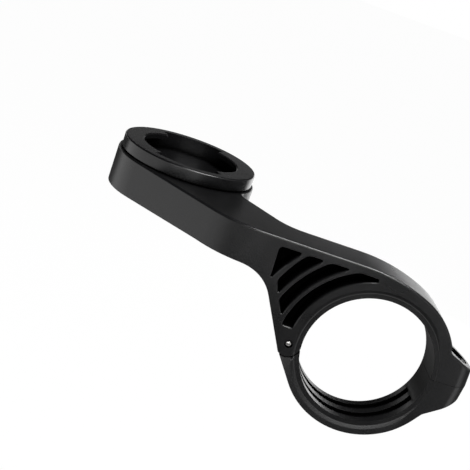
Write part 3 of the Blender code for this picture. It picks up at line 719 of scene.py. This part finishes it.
class MOUNT_OT_stage(bpy.types.Operator):
    """Camera, floor, world and soft lights"""

    bl_idname = "mount.stage"
    bl_label = "Studio"

    def execute(self, context):
        studio = context.scene.mount_studio
        self.add_camera(context)
        self.add_floor(studio)
        self.add_world(context)
        for name, place, size in SOFT_BOXES:
            self.add_light(name + " soft box", place, size, getattr(studio, name + "_light"))
        context.scene.view_settings.view_transform = "Standard"
        return {"FINISHED"}

    def add_camera(self, context):
        """The reference view."""
        data = bpy.data.cameras.new("camera")
        data.lens = CAMERA_LENS
        data.sensor_width = SENSOR_WIDTH
        data.clip_start, data.clip_end = CAMERA_CLIP
        camera = bpy.data.objects.new("camera", data)
        right = Vector(CAMERA_RIGHT).normalized()
        up = Vector(CAMERA_UP)
        up = (up - right * up.dot(right)).normalized()
        back = right.cross(up)
        turn = Matrix((right, up, back)).transposed()
        camera.matrix_world = Matrix.Translation(Vector(CAMERA_PLACE) * MM) @ turn.to_4x4()
        context.scene.collection.objects.link(camera)
        context.scene.camera = camera

    def add_floor(self, studio):
        """Pale floor, white to the camera but for the shadow; reflections see its painted, graded glow."""
        bm = bmesh.new()
        bmesh.ops.create_grid(bm, x_segments=1, y_segments=1, size=FLOOR_REACH,
                              matrix=Matrix.Translation((0.0, 0.0, -studio.floor_drop)))
        floor = new_object("floor", bm)
        mat, tree, shader = principled("pale floor")
        shader.inputs["Base Color"].default_value = FLOOR_COLOUR
        shader.inputs["Roughness"].default_value = FLOOR_ROUGHNESS
        glow = self.floor_glow(tree, studio.floor_glow)
        path = add_node(tree, "ShaderNodeLightPath", (-900, 300))
        seen = add_node(tree, "ShaderNodeMix", (-450, -200), {"B": FLOOR_WHITE}, data_type="FLOAT")
        light = add_node(tree, "ShaderNodeEmission", (-200, -200))
        mirror = add_node(tree, "ShaderNodeMath", (-650, 200), operation="MAXIMUM")
        either = add_node(tree, "ShaderNodeMath", (-450, 200), operation="MAXIMUM")
        share = add_node(tree, "ShaderNodeMath", (-250, 200), {1: FLOOR_MIRROR}, operation="MULTIPLY")
        mix = add_node(tree, "ShaderNodeMixShader", (250, 0))
        connect(tree,
                (path, "Is Camera Ray", seen, "Factor"),
                (glow, "Result", seen, "A"),
                (seen, "Result", light, "Strength"),
                (path, "Is Glossy Ray", mirror, 0),
                (path, "Is Transmission Ray", mirror, 1),
                (mirror, "Value", either, 0),
                (path, "Is Camera Ray", either, 1),
                (either, "Value", share, 0),
                (share, "Value", mix, "Fac"),
                (shader, "BSDF", mix, 1),
                (light, "Emission", mix, 2),
                (mix, "Shader", tree.nodes["Material Output"], "Surface"))
        give(floor, mat)

    def floor_glow(self, tree, brightness):
        """Painted glow of the floor in reflections, by place: dim round a spot in front where a flag would
        stand, bright round it, dim again behind.
        """
        place = add_node(tree, "ShaderNodeTexCoord", (-1700, -200))
        split = add_node(tree, "ShaderNodeSeparateXYZ", (-1500, -200))
        # Painted dark zone in the glow: no flag is built, only the floor's glow is lowered here
        nearest = add_node(tree, "ShaderNodeMath", (-1300, -300), {1: DIM_GLOW_SPOT[1]}, operation="MAXIMUM")
        spot = add_node(tree, "ShaderNodeCombineXYZ", (-1100, -400))
        reach = add_node(tree, "ShaderNodeVectorMath", (-900, -400), {1: DIM_GLOW_SPOT}, operation="DISTANCE")
        front = span(tree, (-700, -400), DIM_GLOW_EDGE, kind="SMOOTHSTEP")
        slant = add_node(tree, "ShaderNodeMath", (-1100, -600), {1: GLOW_SLANT}, operation="MULTIPLY_ADD")
        back = span(tree, (-900, -600), GLOW_EDGE, kind="SMOOTHSTEP")
        band = add_node(tree, "ShaderNodeMath", (-500, -500), operation="MULTIPLY")
        glow = span(tree, (-600, -200), (0.0, 1.0), (FLOOR_DIM, brightness))
        connect(tree,
                (place, "Object", split, "Vector"),
                (split, "Y", nearest, 0),
                (split, "X", spot, "X"),
                (nearest, "Value", spot, "Y"),
                (spot, "Vector", reach, 0),
                (reach, "Value", front, "Value"),
                (split, "X", slant, 0),
                (split, "Y", slant, 2),
                (slant, "Value", back, "Value"),
                (front, "Result", band, 0),
                (back, "Result", band, 1),
                (band, "Value", glow, "Value"))
        return glow

    def add_world(self, context):
        """White to the camera; elsewhere bright along the horizon behind, and dim above and in front."""
        world = bpy.data.worlds.new("studio world")
        world.use_nodes = True
        context.scene.world = world
        tree = world.node_tree
        white = (1.0, 1.0, 1.0, 1.0)
        shade = tree.nodes["Background"]
        shade.inputs["Color"].default_value = white
        seen = add_node(tree, "ShaderNodeBackground", (0, -200), {"Color": white})
        path = add_node(tree, "ShaderNodeLightPath", (-300, 300))
        mix = add_node(tree, "ShaderNodeMixShader", (250, 0))
        place = add_node(tree, "ShaderNodeTexCoord", (-1100, 0))
        split = add_node(tree, "ShaderNodeSeparateXYZ", (-900, 0))
        height = span(tree, (-650, 150), HORIZON_EDGE, HORIZON_LIGHT)
        back = span(tree, (-650, -150), BEHIND_EDGE, BEHIND_LIGHT)
        both = add_node(tree, "ShaderNodeMath", (-400, 0), operation="MULTIPLY")
        connect(tree,
                (place, "Generated", split, "Vector"),
                (split, "Z", height, "Value"),
                (split, "Y", back, "Value"),
                (height, "Result", both, 0),
                (back, "Result", both, 1),
                (both, "Value", shade, "Strength"),
                (path, "Is Camera Ray", mix, "Fac"),
                (shade, "Background", mix, 1),
                (seen, "Background", mix, 2),
                (mix, "Shader", tree.nodes["World Output"], "Surface"))

    def add_light(self, name, place, size, power):
        """Rectangular soft box turned towards the clamp, itself out of sight."""
        data = bpy.data.lights.new(name, "AREA")
        data.shape = "RECTANGLE"
        data.size, data.size_y = size
        data.energy = power
        lamp = bpy.data.objects.new(name, data)
        lamp.location = place
        aim = Vector(LIGHT_AIM) * MM
        lamp.rotation_euler = (aim - lamp.location).to_track_quat("-Z", "Y").to_euler()
        lamp.visible_camera = False
        bpy.context.scene.collection.objects.link(lamp)


class MOUNT_PT_sidebar(bpy.types.Panel):
    """Sizes, colours and steps of the mount"""

    bl_label = "Computer mount"
    bl_idname = "MOUNT_PT_sidebar"
    bl_space_type = "VIEW_3D"
    bl_region_type = "UI"
    bl_category = "Mount"

    def draw(self, context):
        layout = self.layout
        for group in (context.scene.mount_sizes, context.scene.mount_colours, context.scene.mount_studio):
            for key in group.__annotations__:
                layout.prop(group, key)
        for step in STEPS:
            layout.operator(step.bl_idname)


STEPS = (MOUNT_OT_stage, MOUNT_OT_arm, MOUNT_OT_lower_clamp, MOUNT_OT_insert, MOUNT_OT_hinge_pin,
         MOUNT_OT_clamp_screw, MOUNT_OT_clamp_nut, MOUNT_OT_insert_screws)
GROUPS = (("mount_sizes", MountSizes), ("mount_colours", MountColours), ("mount_studio", MountStudio))


def register():
    """Register the classes and hang the settings on the scene."""
    for name, group in GROUPS:
        bpy.utils.register_class(group)
        setattr(bpy.types.Scene, name, bpy.props.PointerProperty(type=group))
    for step in STEPS:
        bpy.utils.register_class(step)
    bpy.utils.register_class(MOUNT_PT_sidebar)


def unregister():
    """Take it all off again."""
    bpy.utils.unregister_class(MOUNT_PT_sidebar)
    for step in reversed(STEPS):
        bpy.utils.unregister_class(step)
    for name, group in reversed(GROUPS):
        delattr(bpy.types.Scene, name)
        bpy.utils.unregister_class(group)


def main():
    """Build the stage and every piece in order."""
    register()
    bpy.ops.mount.stage()
    bpy.ops.mount.arm()
    bpy.ops.mount.lower_clamp()
    bpy.ops.mount.insert()
    bpy.ops.mount.hinge_pin()
    bpy.ops.mount.clamp_screw()
    bpy.ops.mount.clamp_nut()
    bpy.ops.mount.insert_screws()


if __name__ == "__main__":
    main()
